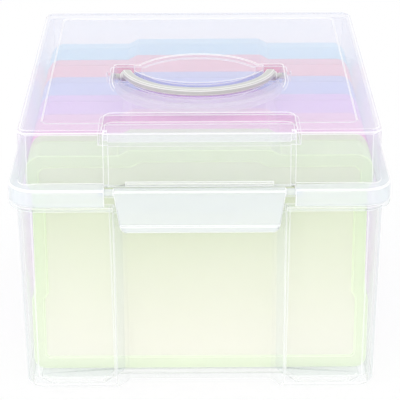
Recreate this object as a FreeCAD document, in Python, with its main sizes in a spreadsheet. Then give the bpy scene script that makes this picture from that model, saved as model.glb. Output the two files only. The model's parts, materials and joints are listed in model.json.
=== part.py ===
import FreeCAD, Part
import math
import os
import Sketcher

# Photo keeper case: a clear box with a hinged lid, a latch and a folding handle, and six tinted
# photo cases that stand in it on their long edge.
# X is to the right, Y to the back and Z up. Each piece is drawn from the middle of the base, and
# then moved along Y, so that the origin is on the table under the middle of the whole case.

# Driving sizes in millimetres: alias, value, what it is
sizes = [
    # base tub
    ("foot_half_width", 88.0, "base at the table, half of its width"),
    ("foot_half_depth", 101.1, "base at the table, half of its depth"),
    ("base_draft", 2.0, "how much the base has spread on each side at its flange"),
    ("base_corner", 9.0, "plan radius of the base's corners"),
    ("foot_chamfer", 2.3, "chamfer along the base's foot"),
    ("base_wall", 2.2, "wall of the base"),
    ("base_floor", 2.4, "floor of the base"),
    ("foot_ring_height", 2.6, "height of the ring that the base stands on"),
    ("foot_ring_width", 7.0, "width of that ring"),
    ("flange_under", 99.0, "height of the flange's underside"),
    ("flange_thickness", 2.4, "thickness of the flange"),
    ("rim_top", 105.8, "height of the rim inside the collar"),
    # finger channel in the front of the base
    ("channel_half_width", 42.1, "channel at the front face, half of its width"),
    ("channel_floor_half_width", 36.0, "channel at its floor, half of its width"),
    ("channel_floor_place", 91.1, "distance of the channel's floor from the middle"),
    ("channel_top", 97.0, "height of the channel's roof"),
    ("channel_roof", 2.4, "thickness of the channel's roof, which the latch catches"),
    ("channel_round", 1.5, "radius of the channel's long edges"),
    # main lid
    ("overall_height", 139.2, "top of the lid"),
    ("lid_half_width", 88.2, "lid's top plate, half of its width"),
    ("lid_half_depth", 101.3, "lid's top plate, half of its depth"),
    ("lid_draft", 0.3, "how much wider the lid is at its shoulder"),
    ("lid_corner", 6.0, "plan radius of the lid's corners"),
    ("lid_edge_chamfer", 1.3, "chamfer along the lid's top edge"),
    ("lid_wall", 2.0, "wall of the lid"),
    ("lid_gap", 0.3, "gap between the collar and the flange"),
    ("shoulder_height", 112.0, "top of the sloping shoulder"),
    ("collar_top", 110.4, "height where the collar meets the shoulder"),
    ("collar_half_width", 93.8, "collar and flange, half of their width"),
    ("collar_half_depth", 106.9, "collar and flange, half of their depth"),
    ("collar_corner", 15.0, "plan radius of the collar's corners"),
    ("collar_chamfer", 0.5, "chamfer along the collar's upper edge"),
    ("collar_wall", 2.0, "wall of the collar"),
    # front panel and pocket of the lid
    ("panel_half_width", 46.4, "proud front panel, half of its width"),
    ("panel_proud", 2.1, "how far the panel stands in front of the lid's wall"),
    ("panel_drop", 0.7, "how far the panel's top stays under the lid's top"),
    ("panel_round", 1.2, "radius of the panel's upright edges"),
    ("pocket_half_width", 46.9, "pocket in the lid's top, half of its width"),
    ("pocket_back", 72.5, "distance of the pocket's back edge from the middle"),
    ("pocket_depth", 5.9, "depth of the pocket"),
    ("pocket_corner", 5.0, "plan radius of the pocket's back corners"),
    # sunk panel on the lid's top
    ("sunk_half_width", 77.0, "sunk panel, half of its width"),
    ("sunk_half_depth", 89.5, "sunk panel, half of its depth"),
    ("sunk_drop", 0.8, "depth of the sunk panel"),
    ("sunk_corner", 4.0, "plan radius of the sunk panel's corners"),
    # handle recess: an elliptical scoop that slopes down to a round trough
    ("scoop_half_width", 45.0, "scoop at the lid's top, half of its width"),
    ("scoop_middle", 19.0, "distance of the ellipse's middle in front of the middle"),
    ("scoop_reach", 52.2, "how far the ellipse reaches in front of its own middle"),
    ("scoop_side_share", 1.055, "plan radius of the scoop's sides, as a share of its reach"),
    ("scoop_front_share", 0.867, "plan radius of the scoop's front, as a share of its half width"),
    ("scoop_foot", 134.4, "height where the scoop meets the trough"),
    ("recess_back", 5.0, "distance of the recess's back wall behind the middle"),
    ("recess_back_round", 1.8, "plan radius of the recess's back corners"),
    ("trough_radius", 43.0, "plan radius of the trough"),
    ("trough_middle", 2.8, "distance of the trough's middle behind the middle"),
    ("trough_turn_share", 0.97, "plan radius of the trough's turns, as a share of its radius"),
    ("trough_floor", 129.0, "height of the trough's floor"),
    ("recess_wall", 2.0, "wall of the recess"),
    # lens-shaped panel behind the recess
    ("lens_half_width", 34.2, "lens, half of its width"),
    ("lens_tip", 3.0, "distance of the lens's tips in front of the middle"),
    ("lens_front", 23.5, "distance of its front edge in front of the middle"),
    ("lens_back", 24.0, "distance of its back edge behind the middle"),
    ("lens_drop", 0.7, "how far the lens lies under the sunk panel"),
    # carry handle
    ("handle_radius", 41.2, "outer radius of the handle"),
    ("handle_width", 5.0, "width of the handle's bar"),
    ("handle_thickness", 3.8, "thickness of the handle's bar"),
    ("handle_under", 134.8, "height of the folded bar's underside"),
    ("handle_chamfer", 0.8, "chamfer along the bar's edges"),
    ("handle_eye", 2.4, "radius of the handle's pivot ends"),
    ("handle_pin", 1.6, "radius of the handle's pins"),
    ("handle_pin_reach", 46.6, "distance of the pins' ends from the middle"),
    ("handle_axis_front", 4.5, "distance of the pivot in front of the middle"),
    ("handle_axis_height", 134.8, "height of the pivot"),
    ("handle_boss", 3.2, "radius of the bosses that hold the pins"),
    # front latch
    ("latch_half_width", 41.8, "latch at its top, half of its width"),
    ("latch_waist_half_width", 38.7, "latch near its foot, half of its width"),
    ("latch_foot", 88.9, "height of the latch's lower edge"),
    ("latch_corner", 4.5, "radius of the latch's lower corners"),
    ("latch_front", 107.4, "distance of the latch's front face"),
    ("latch_wall", 2.2, "thickness of the latch"),
    ("latch_lip", 1.3, "how far the finger lip stands proud"),
    ("latch_lip_height", 3.2, "height of the finger lip"),
    ("latch_lip_corner", 2.9, "radius of the finger lip's ends"),
    ("latch_axis_front", 104.6, "distance of the latch's pivot in front of the middle"),
    ("latch_axis_height", 108.7, "height of the latch's pivot"),
    ("latch_barrel", 2.2, "radius of the latch's barrel"),
    ("latch_neck", 1.0, "how far the plate reaches above the pivot"),
    ("latch_pin", 1.65, "radius of the latch's pins"),
    ("catch_half_width", 18.0, "catch bar, half of its width"),
    ("catch_under", 92.6, "height of the catch bar's underside"),
    ("catch_over", 99.8, "height of the catch bar's top"),
    ("catch_corner", 1.6, "radius of the catch bar's corners"),
    ("catch_gap", 0.3, "gap between the catch bar and the base"),
    ("slot_half_width", 46.3, "opening of the collar for the latch, half of its width"),
    ("slot_top", 111.4, "height of that opening's top"),
    ("ear_width", 3.2, "thickness of the collar's ends that hold the latch's pins"),
    ("ear_under", 106.4, "height of their underside"),
    ("hood_half_width", 35.7, "hood over the latch, half of its width"),
    ("hood_under", 111.9, "height of the hood's underside"),
    ("hood_thickness", 1.7, "thickness of the hood"),
    ("hood_front", 105.5, "distance of the hood's front edge"),
    # rear hinge
    ("hinge_back", 110.9, "distance of the hinge's axis behind the middle"),
    ("hinge_height", 101.4, "height of the hinge's axis"),
    ("hinge_place", 52.0, "distance of each hinge from the middle"),
    ("hinge_eye", 3.4, "radius of the knuckles"),
    ("hinge_pin", 1.5, "radius of the hinge's moulded pins"),
    ("hook_half_width", 8.0, "snap hook of the lid, half of its width"),
    ("knuckle_width", 6.0, "width of each knuckle of the base"),
    ("knuckle_gap", 0.4, "gap between hook and knuckle"),
    ("hook_mouth", 2.3, "mouth that lets the hook snap on its pin"),
    ("pin_gap", 0.05, "running gap round every moulded pin"),
    # photo cases
    ("case_count", 6, "number of photo cases"),
    ("case_pitch", 31.0, "distance from one photo case to the next"),
    ("case_gap", 0.3, "gap between a photo case and what is beside it"),
    ("case_half_width", 85.6, "photo case near its top, half of its width"),
    ("case_foot_half_width", 85.0, "photo case near its foot, half of its width"),
    ("case_waist_half_width", 83.0, "photo case at its grips, half of its width"),
    ("case_height", 116.4, "photo case without its tab"),
    ("case_tab_height", 2.7, "how far the tab stands above the case"),
    ("case_tab_half_width", 35.0, "tab at its top, half of its width"),
    ("case_tab_foot", 5.0, "how much wider the tab is at its foot"),
    ("case_corner", 8.0, "radius of the case's upper corners"),
    ("case_foot_corner", 6.0, "radius of the case's lower corners"),
    ("case_back_corner", 4.0, "how deep the tray's upright back edges are cut, as a radius"),
    ("grip_under", 39.0, "height of the grips above the case's foot"),
    ("grip_over", 98.0, "top of the grips above the case's foot"),
    ("grip_ramp", 3.5, "height over which the grips run out"),
    ("case_wall", 1.3, "wall of the photo cases"),
    ("case_lid_depth", 20.4, "depth of a photo case's lid"),
    ("case_frame_width", 6.2, "frame round the case lid's face"),
    ("case_face_drop", 0.9, "how far the face lies behind its frame"),
    ("case_fit", 0.3, "gap between a case's lid and its tray"),
    ("case_overlap", 8.0, "how far the tray reaches into its lid"),
    # shared
    ("overrun", 1.0, "how far a cut runs past the face that it opens"),
]

doc = FreeCAD.newDocument("PhotoKeeperCase")
sheet = doc.addObject("Spreadsheet::Sheet", "Sizes")
for row, (alias, value, meaning) in enumerate(sizes, start=1):
    sheet.set(f"A{row}", meaning)
    sheet.set(f"B{row}", str(value))
    sheet.setAlias(f"B{row}", alias)
doc.recompute()


class Length:
    """A size: its value, and the expression of spreadsheet cells that gives it."""

    def __init__(self, value, text):
        self.value = value
        self.text = text

    def joined(self, other, sign, value):
        text = other.text if isinstance(other, Length) else repr(other)
        return Length(value, f"({self.text} {sign} {text})")

    def __add__(self, other):
        return self.joined(other, "+", self.value + plain(other))

    def __sub__(self, other):
        return self.joined(other, "-", self.value - plain(other))

    def __mul__(self, other):
        return self.joined(other, "*", self.value * plain(other))

    def __truediv__(self, other):
        return self.joined(other, "/", self.value / plain(other))

    def __neg__(self):
        return Length(-self.value, f"(0 - {self.text})")


def plain(size):
    return size.value if isinstance(size, Length) else size


def cell(alias):
    return Length(float(sheet.get(alias)), f"Sizes.{alias}")


class Cells:
    """Every alias of the sheet as an attribute."""


dim = Cells()
for alias, value, meaning in sizes:
    setattr(dim, alias, cell(alias))
zero = Length(0.0, "0")
cut_share = 2 - math.sqrt(2)  # leg of a flat corner that is as deep as a round one, by its radius
dim.middle_shift = (dim.latch_front + dim.latch_lip - dim.hinge_back - dim.hinge_eye) / 2


def bind(thing, prop, size):
    thing.setExpression(prop, size.text)


def new_body(label):
    """A piece, moved along Y by as much as the whole case reaches further back than forwards."""
    body = doc.addObject("PartDesign::Body", label)
    body.Label = label
    bind(body, ".Placement.Base.y", dim.middle_shift)
    return body


def new_sketch(body, name, role, offset):
    """A sketch on the body's own plane, moved along the plane's normal."""
    sketch = body.newObject("Sketcher::SketchObject", name)
    origin_plane = [item for item in body.Origin.OriginFeatures if item.Role == role][0]
    sketch.AttachmentSupport = [(origin_plane, "")]
    sketch.MapMode = "FlatFace"
    bind(sketch, ".AttachmentOffset.Base.z", offset)
    return sketch


def fix_point(sketch, geometry, end, x, y):
    """Holds a point of the sketch at two bound distances from the origin."""
    if x.value:
        index = sketch.addConstraint(Sketcher.Constraint("DistanceX", -1, 1, geometry, end, x.value))
        bind(sketch, f"Constraints[{index}]", x)
    else:
        sketch.addConstraint(Sketcher.Constraint("PointOnObject", geometry, end, -2))
    if y.value:
        index = sketch.addConstraint(Sketcher.Constraint("DistanceY", -1, 1, geometry, end, y.value))
        bind(sketch, f"Constraints[{index}]", y)
    else:
        sketch.addConstraint(Sketcher.Constraint("PointOnObject", geometry, end, -1))


def fix_radius(sketch, geometry, radius):
    index = sketch.addConstraint(Sketcher.Constraint("Radius", geometry, radius.value))
    bind(sketch, f"Constraints[{index}]", radius)


def draw_outline(sketch, corners):
    """A closed outline of lines: corners are (x, y) or (x, y, radius), anticlockwise."""
    points = [FreeCAD.Vector(corner[0].value, corner[1].value, 0) for corner in corners]
    count = len(points)
    starts = list(points)
    ends = list(points)
    arcs = {}
    for i in range(count):
        if len(corners[i]) < 3:
            continue
        radius = corners[i][2].value
        back = (points[i - 1] - points[i]).normalize()
        ahead = (points[(i + 1) % count] - points[i]).normalize()
        half_turn = back.getAngle(ahead) / 2
        reach = radius / math.tan(half_turn)
        ends[i] = points[i] + back * reach
        starts[i] = points[i] + ahead * reach
        middle = points[i] + (back + ahead).normalize() * (radius / math.sin(half_turn))
        left_turn = ahead.cross(back).z > 0
        arcs[i] = (middle, radius, left_turn)
    lines = []
    for i in range(count):
        line = Part.LineSegment(starts[i], ends[(i + 1) % count])
        lines.append(sketch.addGeometry(line, False))
    for i in range(count):
        before = lines[i - 1]
        after = lines[i]
        if i not in arcs:
            sketch.addConstraint(Sketcher.Constraint("Coincident", before, 2, after, 1))
            fix_point(sketch, after, 1, corners[i][0], corners[i][1])
            continue
        middle, radius, left_turn = arcs[i]
        first = ends[i] if left_turn else starts[i]
        last = starts[i] if left_turn else ends[i]
        circle = Part.Circle(middle, FreeCAD.Vector(0, 0, 1), radius)
        angles = [math.atan2(spot.y - middle.y, spot.x - middle.x) for spot in (first, last)]
        arc = sketch.addGeometry(Part.ArcOfCircle(circle, angles[0], angles[1]), False)
        vertex = sketch.addGeometry(Part.Point(points[i]), True)
        fix_point(sketch, vertex, 1, corners[i][0], corners[i][1])
        sketch.addConstraint(Sketcher.Constraint("PointOnObject", vertex, 1, before))
        sketch.addConstraint(Sketcher.Constraint("PointOnObject", vertex, 1, after))
        start_end, finish_end = (1, 2) if left_turn else (2, 1)
        sketch.addConstraint(Sketcher.Constraint("Tangent", before, 2, arc, start_end))
        sketch.addConstraint(Sketcher.Constraint("Tangent", after, 1, arc, finish_end))
        fix_radius(sketch, arc, corners[i][2])
    return sketch


def rectangle(half_width, front, back, radius=None):
    """Corners of a rectangle that is centred on X."""
    extra = () if radius is None else (radius,)
    return [
        (-half_width, front) + extra,
        (half_width, front) + extra,
        (half_width, back) + extra,
        (-half_width, back) + extra,
    ]


def cut_rectangle(half_width, front, back, radius):
    """Corners of such a rectangle, each cut about as deep as its round would be."""
    leg = radius * cut_share
    return [
        (-half_width, front + leg),
        (-half_width + leg, front),
        (half_width - leg, front),
        (half_width, front + leg),
        (half_width, back - leg),
        (half_width - leg, back),
        (-half_width + leg, back),
        (-half_width, back - leg),
    ]


def box_corners(left, right, low, high):
    return [(left, low), (right, low), (right, high), (left, high)]


def start_offset(role, start, end):
    """The XZ plane faces the front, so its offset counts against Y."""
    return -end if role == "XZ_Plane" else start


def prism(body, name, role, start, end, corners, cut=False):
    """Extrudes an outline, or cuts with it, between two places along its plane's axis."""
    sketch = new_sketch(body, name + "_sketch", role, start_offset(role, start, end))
    draw_outline(sketch, corners)
    return extrude(body, name, sketch, end - start, cut)


def extrude(body, name, sketch, length, cut=False):
    feature = body.newObject("PartDesign::Pocket" if cut else "PartDesign::Pad", name)
    feature.Profile = sketch
    if cut:
        feature.Reversed = True
    bind(feature, "Length", length)
    sketch.Visibility = False
    body.Tip = feature
    return feature


def tapered(body, name, start, end, corners, spread, cut=False):
    """An upright block, or a cut, whose top is wider by the spread on each side, or narrower if negative."""
    feature = prism(body, name, "XY_Plane", start, end, corners, cut)
    feature.setExpression("TaperAngle", f"atan({spread.text} / {(end - start).text})")
    return feature


def rod(body, name, start, end, y, z, radius, cut=False):
    """A round bar, or a bore, along X."""
    sketch = new_sketch(body, name + "_sketch", "YZ_Plane", start)
    circle = Part.Circle(FreeCAD.Vector(y.value, z.value, 0), FreeCAD.Vector(0, 0, 1), radius.value)
    ring = sketch.addGeometry(circle, False)
    fix_point(sketch, ring, 3, y, z)
    fix_radius(sketch, ring, radius)
    return extrude(body, name, sketch, end - start, cut)


def loft(body, name, levels, cut=False):
    """A ruled loft through outlines at rising heights: levels are (height, corners)."""
    sections = []
    for number, (height, corners) in enumerate(levels, start=1):
        section = new_sketch(body, f"{name}_section_{number}", "XY_Plane", height)
        sections.append(draw_outline(section, corners))
    doc.recompute()
    kind = "PartDesign::SubtractiveLoft" if cut else "PartDesign::AdditiveLoft"
    feature = body.newObject(kind, name)
    feature.Profile = sections[0]
    feature.Sections = sections[1:]
    feature.Ruled = True
    body.Tip = feature
    return feature


def chamfer_edges(body, name, size, wanted):
    """Chamfers those edges of the body's present shape that the test picks."""
    doc.recompute()
    base = body.Tip
    names = [f"Edge{n}" for n, edge in enumerate(base.Shape.Edges, start=1) if wanted(edge)]
    feature = body.newObject("PartDesign::Chamfer", name)
    feature.Base = (base, names)
    bind(feature, "Size", size)
    body.Tip = feature
    return feature


def close(a, b):
    """Whether two places are the same, but for rounding."""
    same_place_share = 0.01
    return abs(a - b) < dim.overrun.value * same_place_share


def flat_at(edge, height):
    """Whether the whole edge lies at one height."""
    return close(edge.BoundBox.ZMin, height) and close(edge.BoundBox.ZMax, height)


def is_foot_edge(edge):
    """The outer edge of the foot, apart from the channel."""
    box = edge.BoundBox
    in_channel = max(abs(box.XMin), abs(box.XMax)) < dim.channel_half_width.value + dim.overrun.value
    return flat_at(edge, 0) and not (in_channel and box.YMax < 0)


def channel_plan(grow, front):
    """Plan of the finger channel, grown by the wall round it: its mouth, its floor, its mouth again."""
    mouth = dim.channel_half_width + grow
    floor = dim.channel_floor_half_width + grow
    floor_place = grow - dim.channel_floor_place
    return [
        (mouth, front),
        (floor, floor_place, dim.channel_round),
        (-floor, floor_place, dim.channel_round),
        (-mouth, front),
    ]


def make_base_tub():
    body = new_body("base_tub")
    rim_half_width = dim.foot_half_width + dim.base_draft
    rim_half_depth = dim.foot_half_depth + dim.base_draft
    rim_corner = dim.base_corner + dim.base_draft
    floor_top = dim.foot_ring_height + dim.base_floor
    tapered(body, "shell", zero, dim.flange_under,
            rectangle(dim.foot_half_width, -dim.foot_half_depth, dim.foot_half_depth, dim.base_corner),
            dim.base_draft)
    prism(body, "rim", "XY_Plane", dim.flange_under, dim.rim_top,
          rectangle(rim_half_width, -rim_half_depth, rim_half_depth, rim_corner))
    prism(body, "flange", "XY_Plane", dim.flange_under, dim.flange_under + dim.flange_thickness,
          rectangle(dim.collar_half_width, -dim.collar_half_depth, dim.collar_half_depth, dim.collar_corner))

    # the flange stops where the latch hangs
    prism(body, "flange_gap", "XY_Plane", dim.flange_under - dim.overrun,
          dim.flange_under + dim.flange_thickness + dim.overrun,
          rectangle(dim.channel_half_width, -dim.collar_half_depth - dim.overrun, -rim_half_depth),
          cut=True)

    # inside, drafted like the outside
    tapered(body, "inside", floor_top, dim.flange_under,
            cut_rectangle(dim.foot_half_width - dim.base_wall, dim.base_wall - dim.foot_half_depth,
                          dim.foot_half_depth - dim.base_wall, dim.base_corner - dim.base_wall),
            dim.base_draft, cut=True)
    prism(body, "inside_rim", "XY_Plane", dim.flange_under, dim.rim_top + dim.overrun,
          cut_rectangle(rim_half_width - dim.base_wall, dim.base_wall - rim_half_depth,
                        rim_half_depth - dim.base_wall, rim_corner - dim.base_wall), cut=True)

    # finger channel in front, up to the ledge that the latch catches
    prism(body, "channel_block", "XY_Plane", dim.foot_ring_height, dim.channel_top + dim.channel_roof,
          channel_plan(dim.base_wall, -dim.foot_half_depth))
    prism(body, "channel", "XY_Plane", -dim.overrun, dim.channel_top, [
        (-dim.channel_half_width, -rim_half_depth - dim.overrun),
        (dim.channel_half_width, -rim_half_depth - dim.overrun),
    ] + channel_plan(zero, -dim.foot_half_depth), cut=True)
    chamfer_edges(body, "foot_edge", dim.foot_chamfer, is_foot_edge)

    # the box stands on a ring round its foot
    ring_inside = dim.foot_half_width - dim.foot_ring_width
    ring_end = dim.foot_half_depth - dim.foot_ring_width
    ring_corners = cut_rectangle(ring_inside, -ring_end, ring_end, dim.base_corner)
    prism(body, "under_floor", "XY_Plane", -dim.overrun, dim.foot_ring_height,
          ring_corners[:2] + channel_plan(dim.foot_ring_width, -ring_end)[::-1] + ring_corners[2:], cut=True)

    # hinge knuckles with their moulded pins
    for side, place in (("left", -dim.hinge_place), ("right", dim.hinge_place)):
        inner = dim.hook_half_width + dim.knuckle_gap
        outer = inner + dim.knuckle_width
        for part, start, end in (("a", place - outer, place - inner), ("b", place + inner, place + outer)):
            prism(body, f"arm_{side}_{part}", "YZ_Plane", start, end, [
                (rim_half_depth, dim.flange_under),
                (dim.hinge_back, dim.hinge_height - dim.hinge_eye),
                (dim.hinge_back, dim.hinge_height),
                (rim_half_depth, dim.hinge_height),
            ])
            rod(body, f"eye_{side}_{part}", start, end, dim.hinge_back, dim.hinge_height, dim.hinge_eye)
        rod(body, f"pin_{side}", place - inner, place + inner, dim.hinge_back, dim.hinge_height,
            dim.hinge_pin)
    return body


def recess_outline(half_width, middle, reach, side_round, front_round, spread):
    """Plan of the handle recess at one height, a half ellipse with a square back, grown by the spread."""
    tangent_share = math.sqrt(2) - 1
    width = half_width + spread
    front = reach + spread
    back = dim.recess_back + spread
    turn = middle - front * tangent_share
    return [
        (-width, back, dim.recess_back_round),
        (-width, turn, side_round),
        (-width * tangent_share, middle - front, front_round),
        (width * tangent_share, middle - front, front_round),
        (width, turn, side_round),
        (width, back, dim.recess_back_round),
    ]


def scoop_outline(spread):
    return recess_outline(dim.scoop_half_width, -dim.scoop_middle, dim.scoop_reach,
                          (dim.scoop_reach + spread) * dim.scoop_side_share,
                          (dim.scoop_half_width + spread) * dim.scoop_front_share, spread)


def trough_outline(spread):
    turn = (dim.trough_radius + spread) * dim.trough_turn_share
    return recess_outline(dim.trough_radius, dim.trough_middle, dim.trough_radius, turn, turn, spread)


def draw_lens(sketch, half_width, tip, front, back):
    """Two arcs that meet in the lens's tips: the front one bulges forwards, the other backwards."""
    front_sagitta = front - tip
    back_sagitta = back + tip
    reach = half_width * half_width
    front_radius = (reach / front_sagitta + front_sagitta) / 2
    back_radius = (reach / back_sagitta + back_sagitta) / 2
    front_centre = front_radius - front
    back_centre = back - back_radius
    ids = []
    for radius, centre, low in ((front_radius, front_centre, True), (back_radius, back_centre, False)):
        middle = FreeCAD.Vector(0, centre.value, 0)
        circle = Part.Circle(middle, FreeCAD.Vector(0, 0, 1), radius.value)
        rise = math.atan2(-tip.value - centre.value, half_width.value)
        spans = (math.pi - rise, 2 * math.pi + rise) if low else (rise, math.pi - rise)
        ids.append(sketch.addGeometry(Part.ArcOfCircle(circle, spans[0], spans[1]), False))
        fix_radius(sketch, ids[-1], radius)
    lower, upper = ids
    sketch.addConstraint(Sketcher.Constraint("Coincident", lower, 1, upper, 2))
    sketch.addConstraint(Sketcher.Constraint("Coincident", lower, 2, upper, 1))
    fix_point(sketch, lower, 1, -half_width, -tip)
    fix_point(sketch, lower, 2, half_width, -tip)
    return sketch


def lens_prism(body, name, start, end, grow, cut=False):
    sketch = new_sketch(body, name + "_sketch", "XY_Plane", start)
    draw_lens(sketch, dim.lens_half_width + grow, dim.lens_tip, dim.lens_front + grow, dim.lens_back + grow)
    return extrude(body, name, sketch, end - start, cut)


def make_main_lid():
    body = new_body("main_lid")
    collar_foot = dim.flange_under + dim.flange_thickness + dim.lid_gap
    low_width = dim.lid_half_width + dim.lid_draft
    low_depth = dim.lid_half_depth + dim.lid_draft
    collar = rectangle(dim.collar_half_width, -dim.collar_half_depth, dim.collar_half_depth,
                       dim.collar_corner)
    shoulder = rectangle(low_width, -low_depth, low_depth, dim.lid_corner)
    tapered(body, "upper_wall", dim.collar_top, dim.overall_height, shoulder, -dim.lid_draft)
    chamfer_edges(body, "top_edge", dim.lid_edge_chamfer,
                  lambda edge: flat_at(edge, dim.overall_height.value))
    prism(body, "collar", "XY_Plane", collar_foot, dim.collar_top, collar)
    tapered(body, "shoulder", dim.collar_top, dim.shoulder_height, collar, low_width - dim.collar_half_width)
    chamfer_edges(body, "collar_edge", dim.collar_chamfer, is_collar_edge)

    # proud front panel, which is also the pocket's front wall
    panel_face = low_depth + dim.panel_proud
    prism(body, "front_panel", "XY_Plane", dim.collar_top, dim.overall_height - dim.panel_drop, [
        (-dim.panel_half_width, -panel_face, dim.panel_round),
        (dim.panel_half_width, -panel_face, dim.panel_round),
        (dim.panel_half_width, dim.lid_wall - dim.lid_half_depth),
        (-dim.panel_half_width, dim.lid_wall - dim.lid_half_depth),
    ])

    # inside
    plate_under = dim.overall_height - dim.sunk_drop - dim.lid_wall
    skirt_top = dim.collar_top - dim.lid_wall
    skirt = cut_rectangle(dim.collar_half_width - dim.collar_wall, dim.collar_wall - dim.collar_half_depth,
                          dim.collar_half_depth - dim.collar_wall, dim.collar_corner - dim.collar_wall)
    prism(body, "skirt_inside", "XY_Plane", collar_foot - dim.overrun, skirt_top, skirt, cut=True)
    tapered(body, "shoulder_inside", skirt_top, dim.shoulder_height - dim.lid_wall, skirt,
            low_width - dim.collar_half_width, cut=True)
    tapered(body, "inside", skirt_top, plate_under,
            cut_rectangle(low_width - dim.lid_wall, dim.lid_wall - low_depth, low_depth - dim.lid_wall,
                          dim.lid_corner - dim.lid_wall), -dim.lid_draft, cut=True)
    prism(body, "panel_inside", "XY_Plane", dim.shoulder_height - dim.lid_wall, plate_under, rectangle(
        dim.panel_half_width - dim.lid_wall, dim.lid_wall - panel_face,
        dim.lid_wall - low_depth + dim.overrun), cut=True)

    # floors of the pocket and of the handle recess hang under the plate
    pocket_floor = dim.overall_height - dim.pocket_depth
    pocket_width = dim.pocket_half_width + dim.lid_wall
    prism(body, "pocket_block", "XY_Plane", pocket_floor - dim.lid_wall, plate_under + dim.overrun, [
        (-pocket_width, dim.lid_wall / 2 - low_depth),
        (pocket_width, dim.lid_wall / 2 - low_depth),
        (pocket_width, dim.lid_wall - dim.pocket_back, dim.pocket_corner),
        (-pocket_width, dim.lid_wall - dim.pocket_back, dim.pocket_corner),
    ])
    prism(body, "pocket_front", "XY_Plane", pocket_floor - dim.lid_wall, plate_under + dim.overrun, rectangle(
        dim.panel_half_width - dim.lid_wall / 2, dim.lid_wall / 2 - panel_face, dim.lid_wall - low_depth))
    block_foot = dim.scoop_foot - dim.recess_wall
    prism(body, "trough_block", "XY_Plane", dim.trough_floor - dim.recess_wall, block_foot,
          trough_outline(dim.recess_wall))
    loft(body, "scoop_block", [(block_foot, trough_outline(dim.recess_wall)),
                               (plate_under + dim.overrun, scoop_outline(dim.recess_wall))])
    for side, start, end in (("left", -dim.handle_pin_reach - dim.pin_gap - dim.recess_wall,
                              -dim.trough_radius),
                             ("right", dim.trough_radius,
                              dim.handle_pin_reach + dim.pin_gap + dim.recess_wall)):
        rod(body, f"handle_boss_{side}", start, end, -dim.handle_axis_front, dim.handle_axis_height,
            dim.handle_boss)

    # the openings of the lid's top
    prism(body, "sunk_panel", "XY_Plane", dim.overall_height - dim.sunk_drop,
          dim.overall_height + dim.overrun,
          rectangle(dim.sunk_half_width, -dim.sunk_half_depth, dim.sunk_half_depth, dim.sunk_corner),
          cut=True)
    prism(body, "pocket", "XY_Plane", pocket_floor, dim.overall_height + dim.overrun, [
        (-dim.panel_half_width + dim.lid_wall, dim.lid_wall - panel_face),
        (dim.panel_half_width - dim.lid_wall, dim.lid_wall - panel_face),
        (dim.panel_half_width - dim.lid_wall, dim.lid_wall - low_depth),
        (dim.pocket_half_width, dim.lid_wall - low_depth),
        (dim.pocket_half_width, -dim.pocket_back, dim.pocket_corner),
        (-dim.pocket_half_width, -dim.pocket_back, dim.pocket_corner),
        (-dim.pocket_half_width, dim.lid_wall - low_depth),
        (-dim.panel_half_width + dim.lid_wall, dim.lid_wall - low_depth),
    ], cut=True)
    sunk_top = dim.overall_height - dim.sunk_drop
    loft(body, "scoop", [(dim.scoop_foot, trough_outline(zero)), (sunk_top, scoop_outline(zero))], cut=True)
    prism(body, "trough", "XY_Plane", dim.trough_floor, dim.scoop_foot, trough_outline(zero), cut=True)

    # lens: a hollow step that rises from the recess's floor, with a sunk top
    lens_top = sunk_top - dim.lens_drop
    island = new_sketch(body, "island_sketch", "XY_Plane", dim.trough_floor - dim.recess_wall)
    draw_island(island, dim.lens_half_width, dim.lens_tip, dim.lens_front, dim.recess_back + dim.recess_wall)
    extrude(body, "island", island, lens_top - dim.trough_floor + dim.recess_wall)
    lens_prism(body, "lens_plate", lens_top - dim.lid_wall, lens_top, -dim.lid_wall / 2)
    lens_prism(body, "lens_panel", lens_top, sunk_top + dim.overrun, zero, cut=True)
    hollow = new_sketch(body, "island_hollow_sketch", "XY_Plane",
                        dim.trough_floor - dim.recess_wall - dim.overrun)
    draw_island(hollow, dim.lens_half_width - dim.recess_wall * 2, dim.lens_tip - dim.recess_wall,
                dim.lens_front - dim.recess_wall, dim.recess_back + dim.recess_wall + dim.overrun)
    extrude(body, "island_hollow", hollow,
            lens_top - dim.lid_wall - dim.trough_floor + dim.recess_wall + dim.overrun, cut=True)

    # opening for the latch, the ears that hold its pins, and the hood over it
    prism(body, "latch_opening", "XY_Plane", collar_foot - dim.overrun, dim.slot_top, rectangle(
        dim.slot_half_width, -dim.collar_half_depth - dim.overrun, dim.lid_wall / 2 - low_depth), cut=True)
    for side, sign in (("left", -1), ("right", 1)):
        near = dim.slot_half_width * sign
        far = (dim.slot_half_width + dim.ear_width) * sign
        start, end = (far, near) if sign < 0 else (near, far)
        prism(body, f"ear_{side}", "XY_Plane", dim.ear_under, dim.collar_top - dim.lid_wall / 2,
              box_corners(start, end, dim.collar_wall / 2 - dim.collar_half_depth,
                          dim.lid_wall / 2 - low_depth))
        rod(body, f"latch_bore_{side}", start, end, -dim.latch_axis_front,
            dim.latch_axis_height, dim.latch_pin + dim.pin_gap, cut=True)
        bore_near = dim.trough_radius * sign - dim.overrun * sign
        bore_far = (dim.handle_pin_reach + dim.pin_gap) * sign
        bore_start, bore_end = (bore_far, bore_near) if sign < 0 else (bore_near, bore_far)
        rod(body, f"handle_bore_{side}", bore_start, bore_end, -dim.handle_axis_front, dim.handle_axis_height,
            dim.handle_pin + dim.pin_gap, cut=True)
    prism(body, "hood", "XY_Plane", dim.hood_under, dim.hood_under + dim.hood_thickness, [
        (-dim.hood_half_width, -dim.hood_front, dim.hood_thickness / 2),
        (dim.hood_half_width, -dim.hood_front, dim.hood_thickness / 2),
        (dim.hood_half_width, dim.lid_wall / 2 - panel_face),
        (-dim.hood_half_width, dim.lid_wall / 2 - panel_face),
    ])

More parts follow.
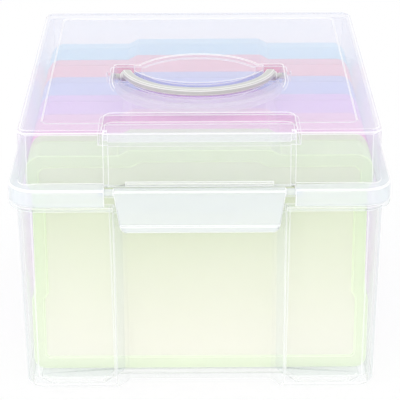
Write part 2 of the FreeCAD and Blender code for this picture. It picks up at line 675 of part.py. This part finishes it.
    # snap hooks of the rear hinge
    for side, place in (("left", -dim.hinge_place), ("right", dim.hinge_place)):
        start = place - dim.hook_half_width
        end = place + dim.hook_half_width
        prism(body, f"hook_arm_{side}", "YZ_Plane", start, end, [
            (dim.collar_half_depth - dim.collar_wall / 2, collar_foot),
            (dim.hinge_back, collar_foot),
            (dim.hinge_back, dim.hinge_height + dim.hinge_eye),
            (dim.collar_half_depth - dim.collar_wall / 2, dim.hinge_height + dim.hinge_eye * 2),
        ])
        rod(body, f"hook_{side}", start, end, dim.hinge_back, dim.hinge_height, dim.hinge_eye)
        rod(body, f"hook_bore_{side}", start - dim.overrun, end + dim.overrun, dim.hinge_back,
            dim.hinge_height, dim.hinge_pin + dim.pin_gap, cut=True)
        prism(body, f"hook_mouth_{side}", "YZ_Plane", start - dim.overrun, end + dim.overrun,
              box_corners(dim.hinge_back - dim.hook_mouth / 2, dim.hinge_back + dim.hook_mouth / 2,
                          dim.hinge_height - dim.hinge_eye - dim.overrun, dim.hinge_height), cut=True)
    return body


def draw_island(sketch, half_width, tip, front, back):
    """The lens's front arc, closed by straight sides and a straight back."""
    sagitta = front - tip
    radius = (half_width * half_width / sagitta + sagitta) / 2
    centre = radius - front
    circle = Part.Circle(FreeCAD.Vector(0, centre.value, 0), FreeCAD.Vector(0, 0, 1), radius.value)
    rise = math.atan2(-tip.value - centre.value, half_width.value)
    arc = sketch.addGeometry(Part.ArcOfCircle(circle, math.pi - rise, 2 * math.pi + rise), False)
    spots = [(half_width, -tip), (half_width, back), (-half_width, back), (-half_width, -tip)]
    previous = (arc, 2)
    for first, last in zip(spots, spots[1:]):
        line = Part.LineSegment(FreeCAD.Vector(first[0].value, first[1].value, 0),
                                FreeCAD.Vector(last[0].value, last[1].value, 0))
        current = sketch.addGeometry(line, False)
        sketch.addConstraint(Sketcher.Constraint("Coincident", previous[0], previous[1], current, 1))
        fix_point(sketch, current, 1, first[0], first[1])
        previous = (current, 2)
    sketch.addConstraint(Sketcher.Constraint("Coincident", previous[0], previous[1], arc, 1))
    fix_point(sketch, arc, 1, -half_width, -tip)
    fix_radius(sketch, arc, radius)
    return sketch


def is_collar_edge(edge):
    """The edge between the collar's side and its sloping top."""
    box = edge.BoundBox
    wide = max(abs(box.XMin), abs(box.XMax)) > dim.collar_half_width.value - dim.collar_corner.value
    deep = max(abs(box.YMin), abs(box.YMax)) > dim.collar_half_depth.value - dim.collar_corner.value
    return flat_at(edge, dim.collar_top.value) and wide and deep


def make_front_latch():
    body = new_body("front_latch")
    back_face = dim.latch_wall - dim.latch_front
    prism(body, "plate", "XZ_Plane", -dim.latch_front, back_face, [
        (-dim.latch_waist_half_width, dim.latch_foot, dim.latch_corner),
        (dim.latch_waist_half_width, dim.latch_foot, dim.latch_corner),
        (dim.latch_half_width, dim.latch_axis_height),
        (dim.latch_half_width, dim.latch_axis_height + dim.latch_neck),
        (-dim.latch_half_width, dim.latch_axis_height + dim.latch_neck),
        (-dim.latch_half_width, dim.latch_axis_height),
    ])
    prism(body, "lip", "XZ_Plane", -dim.latch_front - dim.latch_lip, back_face, [
        (-dim.latch_waist_half_width, dim.latch_foot, dim.latch_lip_corner),
        (dim.latch_waist_half_width, dim.latch_foot, dim.latch_lip_corner),
        (dim.latch_waist_half_width, dim.latch_foot + dim.latch_lip_height),
        (-dim.latch_waist_half_width, dim.latch_foot + dim.latch_lip_height),
    ])
    rod(body, "barrel", -dim.latch_half_width, dim.latch_half_width, -dim.latch_axis_front,
        dim.latch_axis_height, dim.latch_barrel)
    pin_reach = dim.slot_half_width + dim.ear_width - dim.pin_gap
    rod(body, "pins", -pin_reach, pin_reach, -dim.latch_axis_front, dim.latch_axis_height, dim.latch_pin)
    catch_face = -dim.foot_half_depth - dim.base_draft - dim.catch_gap
    prism(body, "catch", "XZ_Plane", back_face - dim.latch_wall / 2, catch_face, [
        (-dim.catch_half_width, dim.catch_under, dim.catch_corner),
        (dim.catch_half_width, dim.catch_under, dim.catch_corner),
        (dim.catch_half_width, dim.catch_over, dim.catch_corner),
        (-dim.catch_half_width, dim.catch_over, dim.catch_corner),
    ])
    return body


def draw_bail(sketch, outer, inner, middle, cut_place):
    """Two round arcs on one centre, closed by straight ends."""
    ids = []
    ends = []
    for radius in (outer, inner):
        half_width = math.sqrt(radius.value ** 2 - (cut_place.value - middle.value) ** 2)
        rise = math.atan2(cut_place.value - middle.value, half_width)
        circle = Part.Circle(FreeCAD.Vector(0, middle.value, 0), FreeCAD.Vector(0, 0, 1), radius.value)
        arc = sketch.addGeometry(Part.ArcOfCircle(circle, math.pi - rise, 2 * math.pi + rise), False)
        fix_point(sketch, arc, 3, zero, middle)
        fix_radius(sketch, arc, radius)
        ids.append(arc)
        ends.append(half_width)
    for end, sign in ((1, -1), (2, 1)):
        line = Part.LineSegment(FreeCAD.Vector(sign * ends[0], cut_place.value, 0),
                                FreeCAD.Vector(sign * ends[1], cut_place.value, 0))
        closing = sketch.addGeometry(line, False)
        sketch.addConstraint(Sketcher.Constraint("Coincident", ids[0], end, closing, 1))
        sketch.addConstraint(Sketcher.Constraint("Coincident", ids[1], end, closing, 2))
        sketch.addConstraint(Sketcher.Constraint("Horizontal", closing))
        index = sketch.addConstraint(Sketcher.Constraint("DistanceY", -1, 1, closing, 1, cut_place.value))
        bind(sketch, f"Constraints[{index}]", cut_place)
    return sketch


def make_carry_handle():
    body = new_body("carry_handle")
    inner = dim.handle_radius - dim.handle_width
    axis_place = -dim.handle_axis_front
    bail = new_sketch(body, "bail_sketch", "XY_Plane", dim.handle_under)
    draw_bail(bail, dim.handle_radius, inner, dim.trough_middle, axis_place)
    extrude(body, "bail", bail, dim.handle_thickness)
    chamfer_edges(body, "bail_edges", dim.handle_chamfer, is_bail_edge)
    for side, sign in (("left", -1), ("right", 1)):
        near = inner * sign
        far = dim.handle_radius * sign
        start, end = (far, near) if sign < 0 else (near, far)
        rod(body, f"eye_{side}", start, end, axis_place, dim.handle_axis_height, dim.handle_eye)
        root = (dim.handle_radius - dim.handle_width / 2) * sign
        tip = dim.handle_pin_reach * sign
        pin_start, pin_end = (tip, root) if sign < 0 else (root, tip)
        rod(body, f"pin_{side}", pin_start, pin_end, axis_place, dim.handle_axis_height, dim.handle_pin)
    return body


def is_bail_edge(edge):
    """The long edges of the handle's bar."""
    box = edge.BoundBox
    return box.ZLength < dim.handle_chamfer.value and box.XLength > dim.handle_radius.value


def cut_corner(x, y, radius, sign):
    """Two points that cut a corner about as deep as its round: lower corner 1, upper corner -1."""
    leg = radius * cut_share
    points = [(x - leg, y), (x, y + leg * sign)]
    return points[::sign]


def case_outline(inset, rounded=False):
    """Front view of a photo case, its foot at height zero, drawn in by the inset."""
    foot = dim.case_foot_half_width - inset
    waist = dim.case_waist_half_width - inset
    head = dim.case_half_width - inset
    top = dim.case_height - inset
    tab_foot = dim.case_tab_half_width + dim.case_tab_foot - inset
    tab_top = dim.case_tab_half_width - inset
    tab = top + dim.case_tab_height
    foot_corner = dim.case_foot_corner * dim.case_foot_corner / (dim.case_foot_corner + inset)
    corner = dim.case_corner * dim.case_corner / (dim.case_corner + inset)
    low_corner = [(foot, inset, foot_corner)]
    high_corner = [(head, top, corner)]
    if not rounded:
        low_corner = cut_corner(foot, inset, foot_corner, 1)
        high_corner = cut_corner(head, top, corner, -1)
    right = low_corner + [
        (foot, dim.grip_under),
        (waist, dim.grip_under + dim.grip_ramp),
        (waist, dim.grip_over),
        (head, dim.grip_over + dim.grip_ramp),
    ] + high_corner + [
        (tab_foot, top),
        (tab_top, tab),
    ]
    left = [(-spot[0],) + spot[1:] for spot in reversed(right)]
    return right + left


def stand_case(body, number):
    """Puts a photo case in its place in the row, on the floor of the base."""
    first = dim.base_wall - dim.channel_floor_place + dim.case_gap
    bind(body, ".Placement.Base.y", dim.middle_shift + first + dim.case_pitch * (number - 1))
    bind(body, ".Placement.Base.z", dim.foot_ring_height + dim.base_floor + dim.case_gap)


def cut_upright(body, name, sign, half_width, depth, radius):
    """Cuts the upright back edge on one side of a photo case."""
    leg = radius * cut_share
    past = dim.overrun
    corners = [
        (half_width - leg - past, depth + past),
        (half_width + past, depth - leg - past),
        (half_width + past, depth + past),
    ]
    if sign < 0:
        corners = [(-x, y) for x, y in reversed(corners)]
    prism(body, name, "XY_Plane", -dim.overrun, dim.case_height + dim.case_tab_height + dim.overrun,
          corners, cut=True)


def make_case_tray(number):
    """Photo case tray: full size behind, with a drawn-in rim that the case's lid slips over."""
    body = new_body(f"photo_case_{number}_tray")
    depth = dim.case_pitch - dim.case_gap
    parting = dim.case_lid_depth + dim.case_fit
    rim_inset = dim.case_wall + dim.case_fit
    prism(body, "back", "XZ_Plane", parting, depth, case_outline(zero, rounded=True))
    for side, sign in (("left", -1), ("right", 1)):
        cut_upright(body, f"back_corner_{side}", sign, dim.case_half_width, depth, dim.case_back_corner)
    prism(body, "rim", "XZ_Plane", parting - dim.case_overlap, parting, case_outline(rim_inset))
    prism(body, "inside", "XZ_Plane", parting - dim.case_overlap - dim.overrun, depth - dim.case_wall,
          case_outline(rim_inset + dim.case_wall), cut=True)
    stand_case(body, number)
    return body


def make_case_lid(number):
    """Photo case lid: a shallow cover with a frame round its sunk face."""
    body = new_body(f"photo_case_{number}_lid")
    prism(body, "cover", "XZ_Plane", zero, dim.case_lid_depth, case_outline(zero, rounded=True))
    prism(body, "face", "XZ_Plane", -dim.overrun, dim.case_face_drop, case_outline(dim.case_frame_width),
          cut=True)
    prism(body, "inside", "XZ_Plane", dim.case_face_drop + dim.case_wall, dim.case_lid_depth + dim.overrun,
          case_outline(dim.case_wall), cut=True)
    stand_case(body, number)
    return body


parts = [make_base_tub(), make_main_lid(), make_front_latch(), make_carry_handle()]
for number in range(1, int(dim.case_count.value) + 1):
    parts.append(make_case_tray(number))
    parts.append(make_case_lid(number))
doc.recompute()

for item in doc.Objects:
    if "Invalid" in item.State or "Error" in item.State:
        raise RuntimeError(f"{item.Label} did not build: {item.State}")
os.makedirs("parts", exist_ok=True)
for body in parts:
    shape = body.Shape
    if shape.isNull() or not shape.isValid() or len(shape.Solids) != 1:
        raise RuntimeError(f"{body.Label} is not one valid solid")
    shape.exportStep(os.path.join("parts", body.Label + ".step"))
    box = shape.BoundBox
    print(f"{body.Label}: {shape.Volume / 1000:.1f} cm3, "
          f"{box.XLength:.1f} x {box.YLength:.1f} x {box.ZLength:.1f} mm")
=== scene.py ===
import json
import math

import bpy
from mathutils import Matrix, Vector
from mathutils.bvhtree import BVHTree


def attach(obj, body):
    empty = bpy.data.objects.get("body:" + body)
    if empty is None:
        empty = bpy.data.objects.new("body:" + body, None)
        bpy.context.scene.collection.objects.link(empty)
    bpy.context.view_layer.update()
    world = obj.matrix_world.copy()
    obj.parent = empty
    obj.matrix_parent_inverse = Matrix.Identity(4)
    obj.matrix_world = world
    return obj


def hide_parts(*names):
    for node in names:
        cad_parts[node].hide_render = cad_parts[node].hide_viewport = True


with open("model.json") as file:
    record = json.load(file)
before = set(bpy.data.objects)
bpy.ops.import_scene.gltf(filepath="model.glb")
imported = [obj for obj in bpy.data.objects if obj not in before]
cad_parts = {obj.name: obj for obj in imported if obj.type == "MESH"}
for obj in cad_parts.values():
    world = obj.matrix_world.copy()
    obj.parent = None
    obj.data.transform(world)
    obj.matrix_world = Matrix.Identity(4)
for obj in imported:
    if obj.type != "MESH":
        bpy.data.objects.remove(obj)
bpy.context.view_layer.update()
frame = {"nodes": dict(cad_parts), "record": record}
nodes = frame["nodes"]
bpy.ops.object.select_all(action="DESELECT")
print("frame loaded:", len(nodes), "nodes")

# the box is clear on clear, so a ray from the lens passes many walls
rayDepth = dict(transparent=96, total=24, diffuse=20)
bpy.context.scene.cycles.transparent_max_bounces = rayDepth["transparent"]
bpy.context.scene.cycles.max_bounces = rayDepth["total"]
bpy.context.scene.cycles.diffuse_bounces = rayDepth["diffuse"]
bpy.context.scene.view_settings.view_transform = "Standard"


# studio

studio = dict(
    floorHalf=3.0,            # metres from the middle to the floor's edge
    floorColour=(0.96, 0.96, 0.965, 1),
    glowToLens=0.88,          # how much of the floor's white the lens gets whatever lies in shade
    worldToObject=0.95,       # strength of the white sky that lights the box
    worldToLens=1.0,          # strength that the lens sees: white
)


# 1 for rays from the lens, also by way of a mirror or through clear plastic
def lensRays(tree):
    path = tree.nodes.new("ShaderNodeLightPath")
    first = tree.nodes.new("ShaderNodeMath")
    first.operation = "MAXIMUM"
    tree.links.new(path.outputs["Is Camera Ray"], first.inputs[0])
    tree.links.new(path.outputs["Is Glossy Ray"], first.inputs[1])
    last = tree.nodes.new("ShaderNodeMath")
    last.operation = "MAXIMUM"
    tree.links.new(first.outputs[0], last.inputs[0])
    tree.links.new(path.outputs["Is Transmission Ray"], last.inputs[1])
    return last.outputs[0]


def makeWorld():
    world = bpy.data.worlds.new("studioWhite")
    bpy.context.scene.world = world
    world.use_nodes = True
    tree = world.node_tree
    tree.nodes.clear()
    out = tree.nodes.new("ShaderNodeOutputWorld")
    light = tree.nodes.new("ShaderNodeBackground")
    light.inputs["Strength"].default_value = studio["worldToObject"]
    seen = tree.nodes.new("ShaderNodeBackground")
    seen.inputs["Strength"].default_value = studio["worldToLens"]
    for background in (light, seen):
        background.inputs["Color"].default_value = (1, 1, 1, 1)
    mix = tree.nodes.new("ShaderNodeMixShader")
    tree.links.new(lensRays(tree), mix.inputs["Fac"])
    tree.links.new(light.outputs[0], mix.inputs[1])
    tree.links.new(seen.outputs[0], mix.inputs[2])
    tree.links.new(mix.outputs[0], out.inputs["Surface"])


def makeFloor():
    bpy.ops.mesh.primitive_plane_add(size=2 * studio["floorHalf"], location=(0, 0, 0))
    floor = bpy.context.object
    floor.name = "floor"
    material = bpy.data.materials.new("floorPaper")
    material.use_nodes = True
    tree = material.node_tree
    tree.nodes.clear()
    out = tree.nodes.new("ShaderNodeOutputMaterial")
    paper = tree.nodes.new("ShaderNodeBsdfDiffuse")
    paper.inputs["Color"].default_value = studio["floorColour"]
    glow = tree.nodes.new("ShaderNodeEmission")
    mix = tree.nodes.new("ShaderNodeMixShader")
    share = tree.nodes.new("ShaderNodeMath")
    share.operation = "MULTIPLY"
    share.inputs[1].default_value = studio["glowToLens"]
    tree.links.new(lensRays(tree), share.inputs[0])
    tree.links.new(share.outputs[0], mix.inputs["Fac"])
    tree.links.new(paper.outputs[0], mix.inputs[1])
    tree.links.new(glow.outputs[0], mix.inputs[2])
    tree.links.new(mix.outputs[0], out.inputs["Surface"])
    floor.data.materials.append(material)


lamps = dict(
    # place and look in metres; size is the softbox's edge
    over=dict(place=(0.0, -0.1, 1.3), look=(0, 0, 0.05), size=1.4, watts=1.7),
    front=dict(place=(-0.35, -1.6, 0.35), look=(0, 0, 0.06), size=1.2, watts=5.6),
    left=dict(place=(-1.2, -0.9, 0.8), look=(0, 0, 0.07), size=1.0, watts=1.2),
    right=dict(place=(1.3, -0.5, 0.7), look=(0, 0, 0.07), size=1.0, watts=0.8),
)


def makeLamps():
    for name, lamp in lamps.items():
        data = bpy.data.lights.new(name + "Softbox", "AREA")
        data.shape = "SQUARE"
        data.size = lamp["size"]
        data.energy = lamp["watts"]
        thing = bpy.data.objects.new(name + "Softbox", data)
        bpy.context.scene.collection.objects.link(thing)
        thing.location = lamp["place"]
        aim = Vector(lamp["look"]) - Vector(lamp["place"])
        thing.rotation_euler = aim.to_track_quat("-Z", "Y").to_euler()


# fitted to the outlines in the photograph
lens = dict(
    place=(-0.001925, -0.939490, 0.440734),
    down=0.38397,       # radians below the horizon
    turn=0.0024786,     # to the right
    roll=-0.004109,
    focal=166.43,       # mm on the sensor
    sensor=36,
    nearest=0.01,
)


def makeCamera():
    data = bpy.data.cameras.new("photoCamera")
    data.lens = lens["focal"]
    data.sensor_width = lens["sensor"]
    data.clip_start = lens["nearest"]
    camera = bpy.data.objects.new("photoCamera", data)
    bpy.context.scene.collection.objects.link(camera)
    ahead = Vector((math.sin(lens["turn"]) * math.cos(lens["down"]),
                    math.cos(lens["turn"]) * math.cos(lens["down"]),
                    -math.sin(lens["down"])))
    side = Vector((math.cos(lens["turn"]), -math.sin(lens["turn"]), 0))
    upward = side.cross(ahead)
    c, s = math.cos(lens["roll"]), math.sin(lens["roll"])
    right = side * c + upward * s
    top = upward * c - side * s
    turned = Matrix((right, top, -ahead)).transposed().to_4x4()
    camera.matrix_world = Matrix.Translation(lens["place"]) @ turned
    bpy.context.scene.camera = camera


makeWorld()
makeFloor()
makeLamps()
makeCamera()
print("studio ready")


# plastics. tint: colour of the walls; face and glance: how solid they look square on and at a glance;
# the side tint and solidity: the same for the collar, a case's frame and the side walls, painted shade
# that stands in for the longer light path through a thick or edge-on wall: darker and deeper in tint on
# the tub and the cases, milkier on the lid's collar; the edge tint and solidity: the rounded edges, with a
# painted highlight for the light they gather, whiter and more solid on the clear parts and deeper in tint
# on the cases; the foot
# tints: painted light from the white floor, paler and more solid towards the foot

plastics = dict(
    clear_base=dict(tint=(0.975, 0.985, 0.99), face=0.04, glance=0.34, haze=0.03, rough=0.14,
                    sideTint=(0.80, 0.88, 0.92), side=0.12,
                    edgeTint=(0.985, 0.99, 1.0), edge=0.50),
    clear_lid=dict(tint=(0.855, 0.85, 0.96), face=0.12, glance=0.44, haze=0.05, rough=0.14,
                   sideTint=(0.885, 0.92, 0.975), side=0.30,
                   edgeTint=(0.99, 0.99, 1.0), edge=0.66),
    frosted_latch=dict(tint=(0.86, 0.89, 0.93), face=0.40, glance=0.70, haze=0.05, rough=0.2,
                       edgeTint=(0.97, 0.98, 0.985), edge=0.8),
    grey_handle=dict(tint=(0.60, 0.61, 0.58), face=0.86, glance=0.95, haze=0.04, rough=0.3,
                     edgeTint=(0.86, 0.86, 0.845), edge=0.95),
    # the front case's foot tints are painted light from the white floor
    case_yellow_green=dict(tint=(0.93, 0.975, 0.79), paintedFloorLightTint=(1.0, 0.985, 0.91),
                           face=0.50, glance=0.70, haze=0.06, rough=0.22,
                           sideTint=(0.885, 1.0, 0.73), paintedFloorLightSideTint=(0.92, 1.0, 0.80), side=0.52,
                           edgeTint=(0.87, 1.0, 0.69), edge=0.70),
    case_pink=dict(tint=(0.995, 0.88, 0.96), face=0.36, glance=0.60, haze=0.06, rough=0.22,
                   sideTint=(1.0, 0.54, 0.87), side=0.62, edgeTint=(1.0, 0.60, 0.88), edge=0.70),
    case_lilac=dict(tint=(0.95, 0.88, 0.998), face=0.36, glance=0.60, haze=0.06, rough=0.22,
                    sideTint=(0.83, 0.50, 1.0), side=0.62, edgeTint=(0.88, 0.58, 1.0), edge=0.70),
    case_blue=dict(tint=(0.87, 0.90, 0.998), face=0.36, glance=0.60, haze=0.06, rough=0.22,
                   sideTint=(0.48, 0.60, 1.0), side=0.62, edgeTint=(0.54, 0.66, 1.0), edge=0.70),
    case_coral=dict(tint=(0.998, 0.88, 0.90), face=0.36, glance=0.60, haze=0.06, rough=0.22,
                    sideTint=(1.0, 0.46, 0.56), side=0.62, edgeTint=(1.0, 0.52, 0.60), edge=0.70),
    case_aqua=dict(tint=(0.87, 0.96, 0.998), face=0.36, glance=0.60, haze=0.06, rough=0.22,
                   sideTint=(0.48, 0.85, 1.0), side=0.62, edgeTint=(0.54, 0.86, 1.0), edge=0.70),
)


# what all the plastics share
melt = dict(
    refraction=1.49,
    shine=0.5,
    flowScale=14,              # of the faint slow change of colour and haze
    flowDetail=3,
    flowPale=0.12,             # how much paler the palest flow is
    grainScale=900,            # of the mould's fine grain in the gloss
    grainLeast=0.8,            # least and most roughness, as shares of the piece's own
    grainMost=1.3,
    glanceBlend=0.35,
    # the painted light from the white floor, which makes the wall paler and more solid towards the foot:
    paintedFloorLightTop=0.085,             # height in metres where the wall begins to pale, and where it is palest
    paintedFloorLightEnd=0.012,
    paintedFloorLightSolid=0.22,             # how much more solid the foot looks
    edgeGlance=0.15,           # how much more solid edges and sides look at a glance
    edgeMost=0.97,
    sideGlance=0.3,
)


# one moulded polypropylene: a wall that is clearer square on and milky at a glance
def makePlastic(name, tint, face, glance, haze, rough, paintedFloorLightTint=None):
    material = bpy.data.materials.new(name)
    material.use_nodes = True
    tree = material.node_tree
    shader = tree.nodes["Principled BSDF"]
    shader.inputs["IOR"].default_value = melt["refraction"]
    shader.inputs["Specular IOR Level"].default_value = melt["shine"]
    place = tree.nodes.new("ShaderNodeTexCoord")
    # flow of the melt
    flow = tree.nodes.new("ShaderNodeTexNoise")
    flow.inputs["Scale"].default_value = melt["flowScale"]
    flow.inputs["Detail"].default_value = melt["flowDetail"]
    tree.links.new(place.outputs["Object"], flow.inputs["Vector"])
    ramp = tree.nodes.new("ShaderNodeValToRGB")
    pale = [c + (1 - c) * melt["flowPale"] for c in tint]
    ramp.color_ramp.elements[0].color = (*tint, 1)
    ramp.color_ramp.elements[1].color = (*pale, 1)
    tree.links.new(flow.outputs["Fac"], ramp.inputs["Fac"])
    colour = ramp.outputs["Color"]
    # grain of the mould
    grain = tree.nodes.new("ShaderNodeTexNoise")
    grain.inputs["Scale"].default_value = melt["grainScale"]
    tree.links.new(place.outputs["Object"], grain.inputs["Vector"])
    gloss = tree.nodes.new("ShaderNodeMapRange")
    gloss.inputs["To Min"].default_value = rough * melt["grainLeast"]
    gloss.inputs["To Max"].default_value = rough * melt["grainMost"]
    tree.links.new(grain.outputs["Fac"], gloss.inputs["Value"])
    tree.links.new(gloss.outputs["Result"], shader.inputs["Roughness"])
    # how solid the wall looks
    facing = tree.nodes.new("ShaderNodeLayerWeight")
    facing.inputs["Blend"].default_value = melt["glanceBlend"]
    solid = tree.nodes.new("ShaderNodeMapRange")
    solid.inputs["To Min"].default_value = face
    solid.inputs["To Max"].default_value = glance
    tree.links.new(facing.outputs["Facing"], solid.inputs["Value"])
    cloudy = tree.nodes.new("ShaderNodeMath")
    cloudy.operation = "MULTIPLY_ADD"
    cloudy.inputs[1].default_value = haze
    tree.links.new(flow.outputs["Fac"], cloudy.inputs[0])
    tree.links.new(solid.outputs["Result"], cloudy.inputs[2])
    solidity = cloudy.outputs[0]
    if paintedFloorLightTint:
        # painted light from the white floor: the wall is painted paler and milkier towards the foot
        height = tree.nodes.new("ShaderNodeSeparateXYZ")
        tree.links.new(place.outputs["Object"], height.inputs["Vector"])
        down = tree.nodes.new("ShaderNodeMapRange")
        down.inputs["From Min"].default_value = melt["paintedFloorLightTop"]
        down.inputs["From Max"].default_value = melt["paintedFloorLightEnd"]
        tree.links.new(height.outputs["Z"], down.inputs["Value"])
        paler = tree.nodes.new("ShaderNodeMix")
        paler.data_type = "RGBA"
        tree.links.new(down.outputs["Result"], paler.inputs["Factor"])
        tree.links.new(colour, paler.inputs["A"])
        paler.inputs["B"].default_value = (*paintedFloorLightTint, 1)
        colour = paler.outputs["Result"]
        milky = tree.nodes.new("ShaderNodeMath")
        milky.operation = "MULTIPLY_ADD"
        milky.use_clamp = True
        milky.inputs[1].default_value = melt["paintedFloorLightSolid"]
        tree.links.new(down.outputs["Result"], milky.inputs[0])
        tree.links.new(solidity, milky.inputs[2])
        solidity = milky.outputs[0]
    tree.links.new(colour, shader.inputs["Base Color"])
    tree.links.new(solidity, shader.inputs["Alpha"])
    return material


made = {}


# a slot's materials: wall, rounded edge with its painted highlight and, where it has one, side with the
# painted tint of a longer light path
def wallMaterials(slot):
    if slot in made:
        return made[slot]
    look = plastics[slot]
    haze, rough = look["haze"], look["rough"]
    paintedFloorLightSide = look.get("paintedFloorLightSideTint")
    edgeGlance = min(melt["edgeMost"], look["edge"] + melt["edgeGlance"])
    made[slot] = [
        makePlastic(slot, look["tint"], look["face"], look["glance"], haze, rough, look.get("paintedFloorLightTint")),
        makePlastic(slot + "_edge", look["edgeTint"], look["edge"], edgeGlance, haze, rough, paintedFloorLightSide),
    ]
    # the side material: painted shade, a darker, deeper-tinted copy of the wall, milkier on the lid's
    # collar
    if "side" in look:
        sideGlance = look["side"] + melt["sideGlance"]
        made[slot].append(
            makePlastic(slot + "_side", look["sideTint"], look["side"], sideGlance, haze, rough, paintedFloorLightSide))
    return made[slot]


# mouldings: each CAD solid again, with its sharp edges rounded as a mould leaves them

moulding = dict(
    mergeGap=0.000005,
    sharpAngle=math.radians(28),     # edges that turn more are rounded
    smoothAngle=math.radians(34),
    segments=2,
    mostShift=0.5,                   # of the rounding, that a corner may lie off the solid
    sideways=0.5,                    # a wall whose normal has less Y than this is a side
    frameDepth=0.0003,               # a case's frame lies this far behind its front at most
    # the collar's milkier look is painted: its faces take the side material
    collarTop=0.1118,                # the lid's collar, which is thicker and milkier, ends here
)
roundings = dict(            # radius of the edges, in metres
    clear_base=0.0006,
    clear_lid=0.00038,
    frosted_latch=0.0004,
    grey_handle=0.0003,
)
caseRounding = 0.00045

pieceNames = dict(base_tub="clearTub", main_lid="clearLid", front_latch="frostedLatch",
                  carry_handle="bailHandle")
for number in range(1, 7):
    pieceNames[f"photo_case_{number}_tray"] = f"photoCase{number}Tray"
    pieceNames[f"photo_case_{number}_lid"] = f"photoCase{number}Cover"


# where close edges meet, a rounded corner can overshoot: it goes back onto the solid
def putBack(piece, solid, most):
    moved = 0
    for corner in piece.data.vertices:
        near, _, _, gap = solid.find_nearest(corner.co)
        if gap > most:
            corner.co = near
            moved += 1
    if moved:
        print(piece.name, "corners put back onto the solid:", moved)


# the lid's collar, the tub's side walls, and a case's side walls and frame take the side material, a
# painted
# shade for the longer light path: darker and deeper in tint on the tub and the cases, milkier on the lid's
# collar
def paintSides(piece, nodeName):
    frameEnd = min(corner.co.y for corner in piece.data.vertices) + moulding["frameDepth"]
    for face in piece.data.polygons:
        isSide = abs(face.normal.y) < moulding["sideways"]
        if nodeName == "main_lid":
            isSide = face.center.z < moulding["collarTop"]
        elif nodeName != "base_tub":
            isSide = isSide or face.center.y < frameEnd
        if isSide and face.material_index == 0:
            face.material_index = 2


def makeMoulding(nodeName, body, slot):
    source = nodes[nodeName]
    piece = source.copy()
    piece.data = source.data.copy()
    piece.name = pieceNames[nodeName]
    piece.parent = None
    piece.matrix_world = Matrix.Identity(4)
    bpy.context.scene.collection.objects.link(piece)
    piece.data.materials.clear()
    for material in wallMaterials(slot):
        piece.data.materials.append(material)
    bpy.ops.object.select_all(action="DESELECT")
    piece.select_set(True)
    bpy.context.view_layer.objects.active = piece
    bpy.ops.object.mode_set(mode="EDIT")
    bpy.ops.mesh.select_all(action="SELECT")
    bpy.ops.mesh.remove_doubles(threshold=moulding["mergeGap"])
    bpy.ops.mesh.select_all(action="DESELECT")
    bpy.ops.object.mode_set(mode="OBJECT")
    solid = BVHTree.FromPolygons([corner.co for corner in piece.data.vertices],
                                 [face.vertices for face in piece.data.polygons])
    bevel = piece.modifiers.new("edges", "BEVEL")
    bevel.width = roundings.get(slot, caseRounding)
    bevel.segments = moulding["segments"]
    bevel.limit_method = "ANGLE"
    bevel.angle_limit = moulding["sharpAngle"]
    bevel.use_clamp_overlap = False
    # the rounded edges take the edge material, with its painted highlight
    bevel.material = 1
    most = moulding["mostShift"] * bevel.width
    bpy.ops.object.modifier_apply(modifier="edges")
    putBack(piece, solid, most)
    if "side" in plastics[slot]:
        paintSides(piece, nodeName)
    bpy.ops.object.shade_smooth_by_angle(angle=moulding["smoothAngle"])
    even = piece.modifiers.new("evenShading", "WEIGHTED_NORMAL")
    even.keep_sharp = True
    bpy.ops.object.modifier_apply(modifier="evenShading")
    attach(piece, body)
    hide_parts(nodeName)
    return piece


slotOf = {part["node"]: part["material_slot"] for part in frame["record"]["subparts"]}
for body, members in frame["record"]["behaviour"]["bodies"].items():
    for nodeName in members:
        piece = makeMoulding(nodeName, body, slotOf[nodeName])
        print("moulded", piece.name, len(piece.data.polygons), "faces")
print("mouldings ready")
